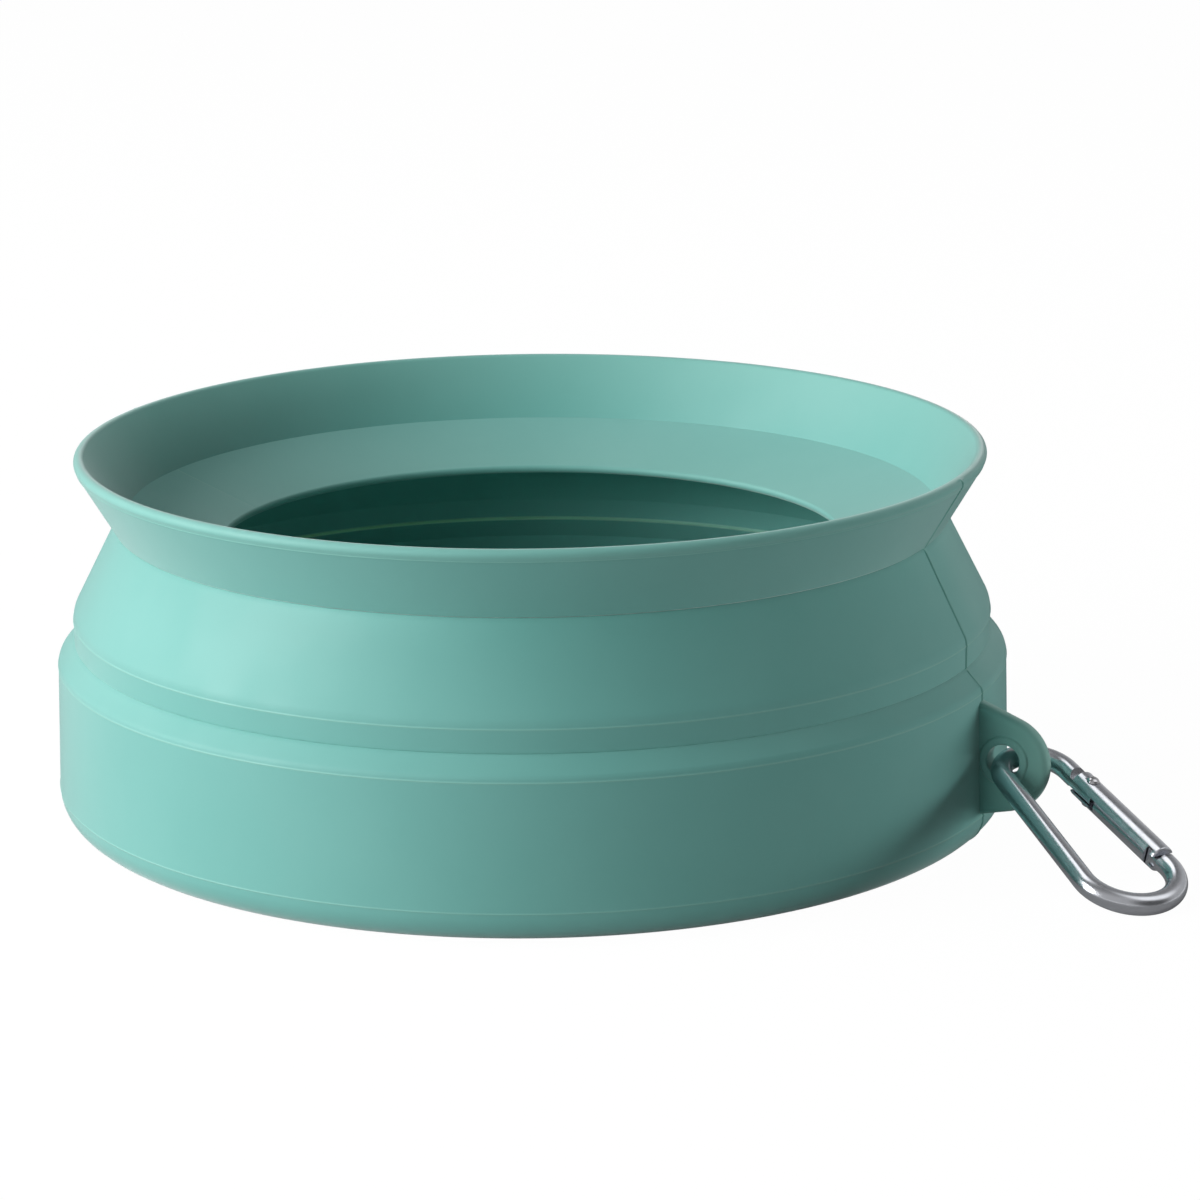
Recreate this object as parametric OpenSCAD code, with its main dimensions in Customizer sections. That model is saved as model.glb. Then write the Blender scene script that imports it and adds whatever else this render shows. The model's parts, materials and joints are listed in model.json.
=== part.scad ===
// Collapsible silicone bowl with a no-spill rim, a hanging lug and a spring-gate carabiner.
// Millimetres. The origin is on the bowl's axis where it stands, +Z is up and the lug points along +X.

/* [Base cup] */
// Outer radius of the base at its top edge
base_r = 90.15; // [80:0.05:100]
// How much wider the base is at its bottom seam
base_draft = 0.55; // [0:0.05:1.5]
// Height of the straight base wall
base_h = 29.6; // [26:0.1:36]
// Thickness of the base wall
base_wall = 2.4; // [1.6:0.1:2.6]
// Thickness of the floor
base_floor = 2.6; // [1.6:0.1:5]
// Radius of the rounded foot, up to the bottom seam
foot_fillet = 5.75; // [3:0.05:6]
// Radius of the rounded corner between floor and wall, inside
inner_fillet = 4; // [1:0.1:8]

/* [Collar and folds] */
// How far the collar stands in from the top of the base
step_in = 3.15; // [2.8:0.05:5]
// Height of the lower fold, from the base to the collar
step_h = 4; // [3:0.1:6]
// Rounding where the lower fold leaves the base
ledge_round = 1.6; // [0.6:0.1:2.2]
// Height of the collar band
collar_h = 4.6; // [3:0.1:8]
// Thickness of the collar band
collar_wall = 2.2; // [1.4:0.1:3]
// How far the neck stands in from the collar
neck_in = 8.4; // [5:0.1:11]
// Height of the shoulder fold, from the collar to the neck
shoulder_h = 17.3; // [13:0.1:22]
// Rounding where the shoulder leaves the collar
shoulder_round = 3.5; // [1:0.1:5]

/* [Rim and splash guard] */
// Thickness of the wall at the neck
neck_wall = 2.1; // [1.4:0.1:3]
// Height of the flared rim above the neck
rim_h = 13.75; // [10:0.05:18]
// How far the rim's edge stands out from the neck
rim_out = 7.3; // [4:0.1:9]
// Diameter of the rounded bead on the rim's edge
bead_d = 2.3; // [1.4:0.1:3.2]
// Height of the guard's root above the neck
guard_seat = 2; // [1.9:0.1:4]
// How far the guard reaches in from the neck
guard_reach = 19; // [10:0.5:26]
// How far the guard falls from its root to its lip
guard_fall = 6.2; // [3:0.1:9]
// Thickness of the guard
guard_t = 1.6; // [1:0.1:1.8]

/* [Hanging lug] */
// Height of the lug's hole
hole_z = 17.4; // [16:0.1:19]
// Distance of the hole from the top of the base wall
hole_out = 4.9; // [4.6:0.1:8]
// Diameter of the lug's hole
hole_d = 6.2; // [6:0.1:6.8]
// Radius of the lug's round end
lug_end_r = 9.05; // [7:0.05:10]
// How far the centre of the round end lies below the hole
end_drop = 0.9; // [0:0.1:1.5]
// How far the centre of the round end lies nearer the wall than the hole
end_in = 0.75; // [0:0.05:1.5]
// Thickness of the lug
lug_t = 3.6; // [2.4:0.1:3.8]
// Diameter of the raised ring round the hole
boss_d = 9.3; // [8:0.1:11]
// How far the raised ring stands proud of each face
boss_proud = 0.45; // [0.2:0.05:0.6]
// Rounding of the lug's edges
lug_round = 1.2; // [0.4:0.1:1.2]
// Distance of the lug's root, at its upper end, below the top of the base wall
root_drop = 0.8; // [0.2:0.1:3]
// Height of the lug's root at its lower end
root_low = 5.8; // [5.8:0.1:9]

/* [Carabiner body] */
// Diameter of the bent rod
rod_d = 4; // [3.6:0.1:4.2]
// Radius of the narrow bend, at the rod's centre
bend_r = 6.7; // [6:0.1:8]
// Radius of the wide bend, at the rod's centre
nose_bend_r = 8.9; // [8.5:0.1:12]
// Distance between the centres of the two bends
bend_gap = 31.5; // [30.5:0.5:40]
// Turn of the carabiner from the lug's direction, seen from above
clip_yaw = 40; // [20:0.5:50]
// Place on the narrow bend that lies in the lug's hole, as a turn from its middle
clip_pass = 30; // [20:0.5:45]
// How far the rod sits below the hole's centre
seat_drop = 0.55; // [0:0.05:0.6]

/* [Gate] */
// Diameter of the gate
gate_d = 5.05; // [4.8:0.05:5.6]
// Distance of the gate's pivot from the narrow bend, along the straight
pivot_at = 7.4; // [7:0.1:9]
// How far the gate reaches past its pivot towards the narrow bend
gate_tail = 3.1; // [2.4:0.1:3.2]
// Length of the gate from its pivot to its free end
gate_l = 22.3; // [21.5:0.1:22.8]
// Thickness of the flat tongue at the hinge and at the nose
tongue_t = 1.7; // [1.2:0.1:1.9]
// Width of the flat tongues
tongue_w = 3.4; // [2.6:0.1:3.6]
// Distance from the pivot to the flat end of the hinge tongue
tongue_end = 2.2; // [1.9:0.1:2.4]
// Reach of the nose tongue into the gate, with its cross head
nose_reach = 4; // [3.4:0.1:4.6]
// Length of the cross head at the end of the nose tongue
head_l = 1.3; // [1:0.1:1.6]
// Width of the cross head, across the slot
head_w = 3.4; // [2.8:0.1:3.6]

/* [Rivet, plunger and spring] */
// Diameter of the rivet's shank
rivet_d = 1.5; // [1:0.1:1.8]
// Diameter of the rivet's domed heads
rivet_head_d = 2.6; // [2.2:0.1:3]
// Height of each domed head
rivet_head_h = 0.7; // [0.4:0.1:1]
// Diameter of the plunger inside the gate
plunger_d = 2.3; // [2:0.1:2.5]
// Length of the plunger
plunger_l = 3.2; // [2:0.1:4]
// Depth of the spring's bore, past the end of the hinge slot
bore_depth = 11.5; // [9:0.5:13]
// Diameter of the spring's wire
wire_d = 0.36; // [0.25:0.01:0.4]
// Turns of the spring
spring_turns = 7; // [5:1:8]

/* [Hidden] */
$fn = 96;

silicone = [0.43, 0.66, 0.63];
silicone_shade = [0.36, 0.58, 0.55];
polished = [0.78, 0.79, 0.82];
steel = [0.62, 0.63, 0.65];

// How far a cut runs past what it cuts, and how far a root runs into what carries it
overrun = 0.6;
// Room of a turning or sliding fit, and of flat faces that pass each other
fit_gap = 0.05;
slot_gap = 0.2;
nose_gap = 0.3;
arc_steps = 8;
rod_sides = 48;

// Heights and radii of the moulding, from the foot up
seam_r = base_r + base_draft;
collar_r = base_r - step_in;
neck_r = collar_r - neck_in;
neck_inner_r = neck_r - neck_wall;
collar_z = base_h + step_h;
shoulder_z = collar_z + collar_h;
neck_z = shoulder_z + shoulder_h;
bead_r = bead_d / 2;
bead_at = [neck_r + rim_out - bead_r, neck_z + rim_h - bead_r];
guard_z = neck_z + guard_seat;
guard_lean = atan2(guard_fall, guard_reach);

// Lug and the place of its hole
hole_r = base_r + hole_out;
lug_root_x = base_r - base_wall / 2;
root_top = base_h - root_drop;
lug_half_t = lug_t / 2;
boss_half_t = lug_half_t + boss_proud;

// Carabiner in its own plane: the narrow bend is centred on the origin and the wide bend lies along +X
rod_r = rod_d / 2;
// How much bending thins the rod, and how far a straight runs into the bend that it joins
bend_thinning = 0.03;
bend_tie = 0.4;
bend_rod_r = rod_r - bend_thinning;
leg_lean = asin((nose_bend_r - bend_r) / bend_gap);
leg_l = bend_gap * cos(leg_lean);
leg_from = bend_r * [-sin(leg_lean), cos(leg_lean)];
clip_reach = bend_r * cos(clip_pass) + bend_gap + nose_bend_r;
clip_slope = asin((hole_z - seat_drop - bend_rod_r) / clip_reach);

// Gate, measured along its own axis from the pivot
gate_r = gate_d / 2;
hinge_slot_t = tongue_t + 2 * slot_gap;
hinge_slot_end = norm([tongue_end, tongue_w / 2]) + nose_gap;
stub_l = 3.2;
shoulder_at = stub_l - pivot_at;
nose_face = gate_l + 2 * nose_gap;
head_from = nose_face - nose_reach;
spot_share = 0.25;
spot_face = gate_r - rivet_head_h * spot_share;
rivet_bore_r = rivet_d / 2 + fit_gap;
rivet_base = spot_face + fit_gap;
plunger_from = tongue_end + fit_gap;
plunger_r = plunger_d / 2;
tip_share = 0.6;
plunger_tip_r = plunger_r * tip_share;
bore_end = hinge_slot_end + bore_depth;
spring_r = plunger_r - wire_d / 2;
spring_from = plunger_from + plunger_l + wire_d / 2 + fit_gap;
spring_l = bore_end - fit_gap - wire_d / 2 - spring_from;
curl_rings = 8;
wire_sides = 6;

// Points on an arc, in equal steps
function arc(centre, radius, from, to, steps = arc_steps) =
    [for (i = [0:steps]) let (turn = from + (to - from) * i / steps)
        centre + radius * [cos(turn), sin(turn)]];

// Angle on a circle where the line from a point touches it; side is 1 or -1
function touch(centre, radius, point, side) =
    atan2(point[1] - centre[1], point[0] - centre[0]) - side * acos(radius / norm(point - centre));

// A profile in radius and height, turned about the bowl's axis
module turned(points) {
    rotate_extrude($fn = 180) polygon(points);
}

// Outer line of the base, from the axis at the floor to the top edge
function base_outline() = concat(
    [[0, 0]],
    arc([seam_r - foot_fillet, foot_fillet], foot_fillet, -90, 0),
    [[base_r, base_h]]);

module base_cup() {
    inner_r = seam_r - base_wall;
    inside = arc([inner_r - inner_fillet, base_floor + inner_fillet], inner_fillet, 0, -90);
    color(silicone) turned(concat(base_outline(), [[base_r - base_wall, base_h]], inside,
                                  [[0, base_floor]]));
}

// The short web that turns inside out when the collar sinks into the base
module lower_fold() {
    centre = [base_r - ledge_round, base_h];
    top = [collar_r, collar_z];
    color(silicone_shade) turned(concat(
        arc(centre, ledge_round, 0, touch(centre, ledge_round, top, 1)),
        [top, [collar_r - collar_wall, collar_z], [base_r - base_wall, base_h]]));
}

module collar_band() {
    color(silicone) translate([0, 0, collar_z]) difference() {
        cylinder(h = collar_h, r = collar_r, $fn = 180);
        translate([0, 0, -overrun])
            cylinder(h = collar_h + 2 * overrun, r = collar_r - collar_wall, $fn = 180);
    }
}

// The tall web that turns inside out when the rim is pushed down
module shoulder_fold() {
    centre = [collar_r - shoulder_round, shoulder_z];
    top = [neck_r, neck_z];
    color(silicone_shade) turned(concat(
        arc(centre, shoulder_round, 0, touch(centre, shoulder_round, top, 1)),
        [top, [neck_inner_r, neck_z], [collar_r - collar_wall, shoulder_z]]));
}

module flared_rim() {
    low = [neck_r, neck_z];
    crease = [neck_inner_r, guard_z];
    outer = touch(bead_at, bead_r, low, -1);
    inner = touch(bead_at, bead_r, crease, 1) + 360;
    color(silicone) turned(concat([[neck_inner_r, neck_z], low],
                                  arc(bead_at, bead_r, outer, inner), [crease]));
}

// The shallow funnel inside the neck that keeps water from slopping out
module splash_guard() {
    lip_r = guard_t / 2;
    lean = guard_lean;
    lip = [neck_inner_r - guard_reach + lip_r, guard_z - guard_fall - lip_r];
    color(silicone) turned(concat(
        [[neck_inner_r, guard_z - guard_t / cos(lean)], [neck_inner_r, guard_z]],
        arc(lip, lip_r, 90 + lean, 270 + lean)));
}

// Turns a flat outline in radius and height into the lug's upright plane
module upright() {
    rotate([90, 0, 0]) children();
}

// Outline of the lug in radius and height, drawn in by an inset: a root on the wall and a round end
function lug_outline(inset) =
    let (end = [hole_r - end_in, hole_z - end_drop],
         radius = lug_end_r - inset,
         upper = [lug_root_x, root_top - inset],
         lower = [lug_root_x, root_low + inset])
    concat([upper, lower],
           arc(end, radius, touch(end, radius, lower, -1), touch(end, radius, upper, 1), 2 * arc_steps));

module hanging_lug() {
    mouth_r = hole_d / 2;
    color(silicone) difference() {
        union() {
            hull() for (turn = [0, 45, 90]) upright()
                linear_extrude(lug_t - 2 * lug_round * (1 - sin(turn)), center = true)
                    polygon(lug_outline(lug_round * (1 - cos(turn))));
            translate([hole_r, 0, hole_z]) upright()
                cylinder(h = 2 * boss_half_t, r = boss_d / 2, center = true);
        }
        translate([0, 0, foot_fillet])
            cylinder(h = base_h - foot_fillet, r1 = seam_r, r2 = base_r, $fn = 180);
        translate([hole_r, 0, hole_z]) upright() {
            cylinder(h = 2 * (boss_half_t + overrun), r = mouth_r, center = true);
            for (side = [0, 180]) rotate([side, 0, 0]) translate([0, 0, boss_half_t - boss_proud])
                cylinder(h = 2 * boss_proud, r1 = mouth_r, r2 = mouth_r + 2 * boss_proud);
        }
    }
}

// Carries the carabiner from its own plane to where it hangs in the lug and rests on the floor
module clip_place() {
    translate([hole_r, 0, hole_z - seat_drop]) rotate([0, clip_slope, -clip_yaw])
        translate(bend_r * [cos(clip_pass), sin(clip_pass), 0]) children();
}

// Carries the gate's own line, with the pivot at the origin and the free end along +X, into the carabiner
module leg_place() {
    translate([leg_from[0], leg_from[1], 0]) rotate([0, 0, leg_lean]) translate([pivot_at, 0, 0]) children();
}

// A bend of the rod about a centre on the carabiner's long axis, drawn a hair thinner than the straights
module rod_bend(at, radius, from, to) {
    translate([at, 0, 0]) rotate([0, 0, from]) rotate_extrude(angle = to - from)
        translate([radius, 0]) circle(r = bend_rod_r, $fn = rod_sides);
}

// A rod along the local X axis
module bar(from, to, radius) {
    translate([from, 0, 0]) rotate([0, 90, 0]) cylinder(h = to - from, r = radius, $fn = rod_sides);
}

// A flat tongue along the local X axis
module tongue(from, to, width, thickness) {
    translate([from, -width / 2, -thickness / 2]) cube([to - from, width, thickness]);
}

module carabiner_body() {
    color(polished) clip_place() union() {
        union() {
            rod_bend(0, bend_r, 90 + leg_lean, 270 - leg_lean);
            translate([leg_from[0], -leg_from[1], 0]) rotate([0, 0, -leg_lean])
                bar(-bend_tie, leg_l + bend_tie, rod_r);
            rod_bend(bend_gap, nose_bend_r, -90 - leg_lean, 90 + leg_lean);
            leg_place() bar(-pivot_at - bend_tie, shoulder_at, rod_r);
            leg_place() bar(nose_face, leg_l - pivot_at + bend_tie, rod_r);
        }
        leg_place() difference() {
            tongue(shoulder_at - overrun, tongue_end, tongue_w, tongue_t);
            cylinder(h = gate_d, r = rivet_bore_r, center = true, $fn = 32);
        }
        leg_place() union() {
            tongue(head_from, nose_face + overrun, tongue_w, tongue_t);
            tongue(head_from, head_from + head_l, tongue_w, head_w);
        }
    }
}

module carabiner_gate() {
    head_room = head_w + 2 * slot_gap;
    slot_room = gate_d + 2 * overrun;
    color(polished) clip_place() leg_place() difference() {
        bar(-gate_tail, gate_l, gate_r);
        tongue(-gate_tail - overrun, hinge_slot_end, slot_room, hinge_slot_t);
        tongue(head_from - nose_gap, gate_l + overrun, slot_room, hinge_slot_t);
        tongue(head_from - nose_gap, head_from + head_l + nose_gap, slot_room, head_room);
        bar(plunger_from - nose_gap, bore_end, plunger_r + fit_gap);
        cylinder(h = slot_room, r = rivet_bore_r, center = true, $fn = 32);
        for (side = [0, 180]) rotate([side, 0, 0]) translate([0, 0, spot_face])
            cylinder(h = gate_d, r = rivet_head_d / 2 + slot_gap, $fn = 48);
    }
}

module gate_rivet() {
    head_r = rivet_head_d / 2;
    dome_r = (head_r * head_r + rivet_head_h * rivet_head_h) / (2 * rivet_head_h);
    crown = rivet_base + rivet_head_h;
    dome = arc([0, crown - dome_r], dome_r, 90 - asin(head_r / dome_r), 90);
    color(steel) clip_place() leg_place() rotate_extrude($fn = 48) polygon(concat(
        [for (i = [arc_steps:-1:0]) [dome[i][0], -dome[i][1]]],
        [[rivet_d / 2, -rivet_base], [rivet_d / 2, rivet_base]],
        dome));
}

module gate_plunger() {
    chamfer = plunger_r - plunger_tip_r;
    color(steel) clip_place() leg_place() translate([plunger_from, 0, 0]) rotate([0, 90, 0])
        rotate_extrude($fn = 32) polygon([[0, 0], [plunger_tip_r, 0], [plunger_r, chamfer],
                                          [plunger_r, plunger_l], [0, plunger_l]]);
}

// Centre of the spring's wire at one ring
function coil_at(i) =
    let (turn = 360 * i / curl_rings)
    [spring_from + spring_l * i / (curl_rings * spring_turns), spring_r * cos(turn), spring_r * sin(turn)];

// The ring of points round the wire there
function coil_ring(i) =
    let (turn = 360 * i / curl_rings,
         radial = [0, cos(turn), sin(turn)],
         ahead = [spring_l / (spring_turns * 2 * PI * spring_r), -sin(turn), cos(turn)],
         across = cross(ahead / norm(ahead), radial))
    [for (k = [0:wire_sides - 1]) let (side = 360 * k / wire_sides)
        coil_at(i) + wire_d / 2 * (cos(side) * radial + sin(side) * across)];

module gate_spring() {
    last = curl_rings * spring_turns;
    points = [for (i = [0:last]) each coil_ring(i)];
    sides = [for (i = [0:last - 1], k = [0:wire_sides - 1])
        let (a = i * wire_sides + k, b = i * wire_sides + (k + 1) % wire_sides)
        each [[a, b, a + wire_sides], [b, b + wire_sides, a + wire_sides]]];
    gaps = [for (i = [0:last - curl_rings]) norm(coil_at(i + curl_rings) - coil_at(i)) - wire_d];
    echo(least_gap_between_turns = min(gaps));
    end = last * wire_sides;
    caps = [for (k = [1:wire_sides - 2]) each [[0, k + 1, k], [end, end + k, end + k + 1]]];
    color(steel) clip_place() leg_place() polyhedron(points, concat(sides, caps));
}

base_cup();
hanging_lug();
lower_fold();
collar_band();
shoulder_fold();
flared_rim();
splash_guard();
carabiner_body();
carabiner_gate();
gate_rivet();
gate_plunger();
gate_spring();
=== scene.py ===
"""Looks of a collapsible silicone bowl with a no-spill rim, a lug and a spring-gate carabiner.

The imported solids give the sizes, places and bodies. Each class here models one piece as it looks,
round those solids, and dresses it. Lengths are in metres, in the part's own frame: +Z is up and the
lug points along +X.
"""

import json
import logging
import math
from dataclasses import dataclass, field, replace
from enum import Enum

import bmesh
import bpy
from bmesh.types import BMEdge, BMesh, BMFace, BMVert
from bpy.types import ID, Material, Node, NodeSocket, NodeTree, Object
from mathutils import Matrix, Vector
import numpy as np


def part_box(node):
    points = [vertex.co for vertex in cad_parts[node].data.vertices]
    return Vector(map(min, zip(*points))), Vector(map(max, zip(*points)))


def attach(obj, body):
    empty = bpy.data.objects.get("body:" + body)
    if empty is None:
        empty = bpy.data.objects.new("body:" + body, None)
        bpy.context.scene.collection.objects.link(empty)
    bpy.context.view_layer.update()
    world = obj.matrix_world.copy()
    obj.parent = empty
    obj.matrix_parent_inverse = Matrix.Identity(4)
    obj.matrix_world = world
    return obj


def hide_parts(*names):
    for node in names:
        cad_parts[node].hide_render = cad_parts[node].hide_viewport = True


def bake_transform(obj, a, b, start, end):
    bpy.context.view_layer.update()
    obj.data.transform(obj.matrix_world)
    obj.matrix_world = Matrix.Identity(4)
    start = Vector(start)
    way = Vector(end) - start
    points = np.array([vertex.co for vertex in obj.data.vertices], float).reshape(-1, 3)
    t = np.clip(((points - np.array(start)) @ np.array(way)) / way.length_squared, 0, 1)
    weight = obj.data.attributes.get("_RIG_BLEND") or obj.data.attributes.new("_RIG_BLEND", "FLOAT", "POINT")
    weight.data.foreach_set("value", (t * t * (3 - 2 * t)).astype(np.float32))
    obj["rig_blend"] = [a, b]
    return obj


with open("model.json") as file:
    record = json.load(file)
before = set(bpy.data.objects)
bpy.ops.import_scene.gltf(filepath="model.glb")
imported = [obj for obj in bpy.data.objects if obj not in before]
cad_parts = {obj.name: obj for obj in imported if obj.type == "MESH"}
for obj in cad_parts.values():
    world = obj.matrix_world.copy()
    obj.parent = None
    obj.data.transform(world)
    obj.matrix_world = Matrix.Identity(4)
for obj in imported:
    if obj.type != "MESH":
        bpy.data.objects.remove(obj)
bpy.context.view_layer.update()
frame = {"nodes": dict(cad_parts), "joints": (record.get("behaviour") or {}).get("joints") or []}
log = logging.getLogger("bowl")

Colour = tuple[float, float, float, float]
Span = tuple[float, float]

MM = 0.001
# Vertices that lie closer than this are made one.
MERGE = 0.002 * MM
# Share of a full round that two bevelled corners take, so that they don't meet.
FULL_ROUND = 0.97
# Parts of the noise that the clouds and the rubbed streaks spread over 0 to 1.
CLOUD_SPAN: Span = (0.3, 0.7)
RUB_SPAN: Span = (0.35, 0.65)
UNIT: Span = (0.0, 1.0)
WHITE: Colour = (1.0, 1.0, 1.0, 1.0)
JOINTS = {joint["name"]: joint for joint in frame["joints"]}


class Body(str, Enum):
    """The rigid bodies that pieces ride on."""

    BASE = "base"
    COLLAR = "collar"
    RIM = "rim"
    CARABINER = "carabiner"
    GATE = "gate"
    PLUNGER = "plunger"


class Slot(str, Enum):
    """The record's material slots."""

    SILICONE = "silicone"
    POLISHED = "polished_metal"
    RIVET = "rivet_steel"
    SPRING = "spring_steel"


def link(name: str, data: ID) -> Object:
    """Makes an object of a mesh, a camera or a lamp, in the scene.

    Args:
        name: Name of the new object.
        data: What it shows.

    Returns:
        The new object, at the origin.
    """
    made = bpy.data.objects.new(name, data)
    bpy.context.scene.collection.objects.link(made)
    return made


def finish_mesh(name: str, bm: BMesh, crease_deg: float = 38.0) -> Object:
    """Closes a bmesh, turns its faces outwards and links it as a smooth object with sharp creases.

    Args:
        name: Name of the new object.
        bm: The shape, which is freed here.
        crease_deg: Edges that turn more than this stay sharp.

    Returns:
        The new object, at the origin.
    """
    bmesh.ops.remove_doubles(bm, verts=bm.verts, dist=MERGE)
    bmesh.ops.dissolve_degenerate(bm, edges=bm.edges, dist=MERGE / 2)
    bmesh.ops.recalc_face_normals(bm, faces=bm.faces)
    crease = math.radians(crease_deg)
    for face in bm.faces:
        face.smooth = True
    for edge in bm.edges:
        edge.smooth = not edge.is_manifold or edge.calc_face_angle(0.0) < crease
    mesh = bpy.data.meshes.new(name)
    bm.to_mesh(mesh)
    bm.free()
    return link(name, mesh)


def loop_edges(verts: list[BMVert]) -> list[BMEdge]:
    """Edges that join the given vertices."""
    chosen = set(verts)
    return list({edge for vert in verts for edge in vert.link_edges if set(edge.verts) <= chosen})


def parts_of(geom: list, kind: type) -> list:
    """Items of one kind in an operator's result."""
    return [item for item in geom if isinstance(item, kind)]


def tangent_turn(centre: Vector, radius: float, point: Vector, side: int = 1) -> float:
    """Angle on a circle, from +X, where the line from an outside point touches it.

    Args:
        centre: Centre of the circle.
        radius: Radius of the circle.
        point: The point that the line runs to.
        side: Which of the two touches, 1 or -1.

    Returns:
        The angle, in radians.
    """
    reach = point - centre
    return math.atan2(reach.y, reach.x) - side * math.acos(radius / reach.length)


def past_round(start: Vector, centre: Vector, radius: float, side: int) -> tuple[Vector, Vector]:
    """Line from a point past a round edge, which it touches.

    Args:
        start: Where the line starts, in radius and height.
        centre: Centre of the round edge.
        radius: Radius of the round edge.
        side: Which side of the edge it touches, 1 or -1.

    Returns:
        The line's direction, and the point on it that is level with the edge's crown.
    """
    reach = centre - start
    along = reach.normalized()
    along.rotate(Matrix.Rotation(side * math.asin(radius / reach.length), 2))
    return along, start + along * (reach.dot(along) + radius)


@dataclass(frozen=True)
class Corner:
    """A corner of a turned profile.

    Attributes:
        r: Distance from the bowl's axis.
        z: Height.
        round_r: Radius that the corner is rounded to.
        painted_light: Painted light on the silicone there: a painted highlight from 0 to 1, and
        above 1, up to 2, a painted glow that stands for light coming through.
    """

    r: float
    z: float
    round_r: float = 0.0
    painted_light: float = 0.0

    @classmethod
    def at(cls, point: Vector, round_r: float = 0.0, painted_light: float = 0.0) -> "Corner":
        """Sets a corner at a point of radius and height."""
        return cls(point.x, point.y, round_r, painted_light)


@dataclass
class Lathe:
    """Turns closed profiles about the bowl's axis and leaves the mould's parting line on two sides.

    Attributes:
        half_steps: Steps of the turn between the two parting lines.
        line_steps: Steps across a parting line.
        line_half_turn: Half the angle that a parting line takes up.
        line_edge: Share of that angle past which nothing is raised.
        line_rise: How far the line stands out.
        line_facing: How far a surface has to look outwards to carry the line.
        round_step: Turn of one step of a rounded corner.
        round_least: Fewest steps of a rounded corner.
        long_share: Lines get extra loops if they are longer than this share of the longest.
    """

    half_steps: int = 120
    line_steps: int = 4
    line_half_turn: float = math.radians(0.2)
    line_edge: float = 0.99
    line_rise: float = 0.24 * MM
    line_facing: float = 0.4
    round_step: float = math.radians(9)
    round_least: int = 3
    long_share: float = 0.6

    def outline(self, bm: BMesh, corners: list[Corner], loops: int) -> None:
        """Draws the closed profile in the XZ plane, with its corners rounded.

        Args:
            bm: Where the profile is drawn.
            corners: The profile's corners in order.
            loops: Extra points on each of the profile's long lines.
        """
        # Painted light per vertex: painted highlights on edges and lines, and a painted glow above 1.
        painted_light = bm.verts.layers.float.new("painted_light")
        verts = [bm.verts.new((corner.r, 0.0, corner.z)) for corner in corners]
        for vert, corner in zip(verts, corners):
            vert[painted_light] = corner.painted_light
        for ends in zip(verts, verts[1:] + verts[:1]):
            bm.edges.new(ends)
        for i, (vert, corner) in enumerate(zip(verts, corners)):
            if not corner.round_r:
                continue
            before, after = corners[i - 1], corners[(i + 1) % len(corners)]
            along = Vector((corner.r - before.r, corner.z - before.z))
            turn = along.angle(Vector((after.r - corner.r, after.z - corner.z)))
            steps = max(self.round_least, round(turn / self.round_step))
            bmesh.ops.bevel(bm, geom=[vert], offset=corner.round_r * math.tan(turn / 2),
                            offset_type="OFFSET", segments=steps, profile=0.5, affect="VERTICES",
                            material=-1)
        if loops:
            shortest = self.long_share * max(edge.calc_length() for edge in bm.edges)
            long_edges = [edge for edge in bm.edges if edge.calc_length() > shortest]
            bmesh.ops.subdivide_edges(bm, edges=long_edges, cuts=loops)

    def turn(self, corners: list[Corner], loops: int = 0) -> BMesh:
        """Turns a profile into a closed ring.

        Args:
            corners: The profile's corners in order.
            loops: Extra loops on each of the profile's long lines.

        Returns:
            The ring, with its parting lines raised.
        """
        bm = bmesh.new()
        self.outline(bm, corners, loops)
        start = Matrix.Rotation(self.line_half_turn, 3, "Z")
        bmesh.ops.rotate(bm, verts=bm.verts, cent=(0, 0, 0), matrix=start)
        geom = bm.verts[:] + bm.edges[:]
        side = (math.pi - 2 * self.line_half_turn, self.half_steps)
        line = (2 * self.line_half_turn, self.line_steps)
        for angle, steps in (side, line, side, line):
            geom = bmesh.ops.spin(bm, geom=geom, cent=(0, 0, 0), axis=(0, 0, 1), angle=angle,
                                  steps=steps)["geom_last"]
        bmesh.ops.remove_doubles(bm, verts=bm.verts, dist=MERGE)
        bmesh.ops.recalc_face_normals(bm, faces=bm.faces)
        self.raise_line(bm)
        return bm

    def raise_line(self, bm: BMesh) -> None:
        """Raises the parting line on the outer skin, at the lug and opposite it, with a painted highlight on
        its crown.

        Args:
            bm: The turned ring.
        """
        painted_light = bm.verts.layers.float["painted_light"]
        bm.normal_update()
        for vert in bm.verts:
            outward = Vector((vert.co.x, vert.co.y, 0.0))
            share = math.atan2(abs(vert.co.y), abs(vert.co.x)) / self.line_half_turn
            if share > self.line_edge or outward.length < MM:
                continue
            outward.normalize()
            if vert.normal.dot(outward) >= self.line_facing:
                crown = math.cos(share * math.pi / 2)
                vert.co += outward * self.line_rise * crown
                # Painted highlight along the parting line's crown.
                vert[painted_light] = max(vert[painted_light], crown)


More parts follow.
